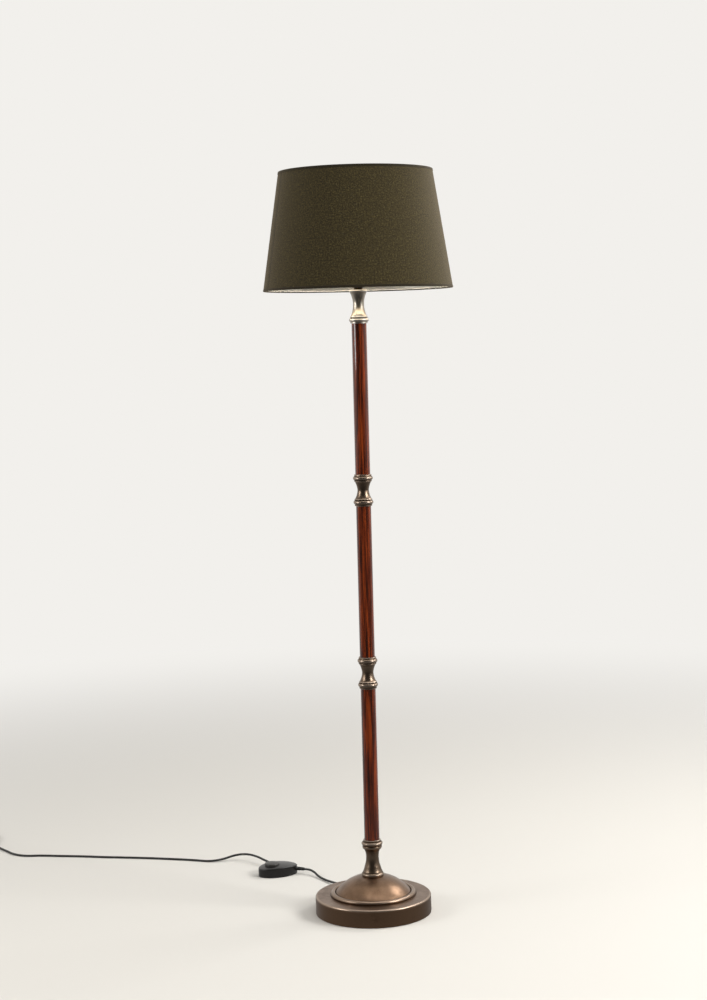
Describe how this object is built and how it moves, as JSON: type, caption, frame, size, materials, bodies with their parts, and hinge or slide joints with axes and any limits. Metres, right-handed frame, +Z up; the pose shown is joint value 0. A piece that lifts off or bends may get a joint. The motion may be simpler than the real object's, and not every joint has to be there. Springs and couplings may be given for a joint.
{
  "type": "floor lamp",
  "caption": "Candlestick floor lamp: weighted domed base, turned wood poles with metal couplings, tapered drum shade, foot switch on its cord.",
  "frame": {"origin": "centre of the base's underside, on the floor, under the column", "axes": "+Z up the column, -Y towards the viewer, +X to the viewer's right, the cord leaves behind and to the left"},
  "size_m": [1.2499, 0.9412, 1.5793],
  "materials": {
    "aged_metal": "antique pewter, spun and burnished",
    "mahogany": "mahogany stain under gloss lacquer",
    "cast_iron": "as cast",
    "zinc_steel": "zinc plated",
    "felt": "black felt",
    "black_moulding": "moulded, satin",
    "black_button": "moulded, semi gloss",
    "cord_pvc": "black flexible sleeve",
    "porcelain": "glazed ceramic",
    "brass": "plain",
    "bulb_alu": "rolled thread",
    "bulb_glass": "opal coated inside",
    "shade_fabric": "plain woven linen blend",
    "shade_lining": "silvered laminate",
    "shade_tape": "rolled edge of the same cloth",
    "wire_white": "white powder coat",
    "rubber": "moulded"
  },
  "bodies": {
    "root": {"base_felt": "felt", "base_neck": "aged_metal", "base_plate": "zinc_steel", "base_shell": "aged_metal", "base_weight": "cast_iron", "cord_bushing": "rubber", "cord_coil": "cord_pvc", "cord_lead": "cord_pvc", "cord_run": "cord_pvc", "cord_tail": "cord_pvc", "coupling_lower": "aged_metal", "coupling_middle": "aged_metal", "inner_flex": "cord_pvc", "lampholder_cap": "aged_metal", "lampholder_contacts": "brass", "lampholder_core": "porcelain", "lampholder_skirt": "black_moulding", "plate_screws": "zinc_steel", "plug_body": "black_moulding", "plug_pins": "zinc_steel", "plug_relief": "rubber", "pole_lower": "mahogany", "pole_middle": "mahogany", "pole_upper": "mahogany", "rod_lower": "zinc_steel", "rod_middle": "zinc_steel", "rod_nut": "zinc_steel", "rod_upper": "zinc_steel", "rod_washer": "zinc_steel", "shade_ring_lower": "black_moulding", "shade_ring_upper": "black_moulding", "switch_block": "black_moulding", "switch_feet": "rubber", "switch_lower": "black_moulding", "switch_relief_lead": "rubber", "switch_relief_run": "rubber", "switch_screws": "zinc_steel", "switch_spring": "zinc_steel", "switch_terminals": "brass", "switch_upper": "black_moulding", "terminal_screws": "brass", "top_neck": "aged_metal"},
    "shade": {"shade_cover": "shade_fabric", "shade_lining": "shade_lining", "shade_seam": "shade_fabric", "bottom_hoop": "wire_white", "top_hoop": "wire_white", "bottom_binding": "shade_tape", "top_binding": "shade_tape", "shade_spider": "wire_white"},
    "bulb_contact": {"bulb_tip": "zinc_steel"},
    "bulb": {"bulb_glass": "bulb_glass", "bulb_cap": "bulb_alu", "bulb_insulator": "black_moulding"},
    "foot_button": {"switch_button": "black_button"}
  },
  "joints": [
    {"name": "shade_turn", "type": "hinge", "parent": "root", "child": "shade", "pos_m": [0, 0, 1.35], "axis": [0, 0, 1], "continuous": true},
    {"name": "bulb_lift", "type": "slide", "parent": "root", "child": "bulb_contact", "axis": [0, 0, 1], "range_m": [0, 0.01815]},
    {"name": "bulb_turn", "type": "hinge", "parent": "bulb_contact", "child": "bulb", "pos_m": [0, 0, 1.37], "axis": [0, 0, 1], "range_deg": [0, 1800]},
    {"name": "button_press", "type": "slide", "parent": "root", "child": "foot_button", "axis": [0, 0, -1], "range_m": [0, 0.003], "stiffness_N_per_m": 1200, "springref_m": -0.0005, "deforming": ["switch_spring"]}
  ],
  "couplings": [
    {"joint": "bulb_lift", "follows": "bulb_turn", "m_per_rad": 0.00057757}
  ]
}
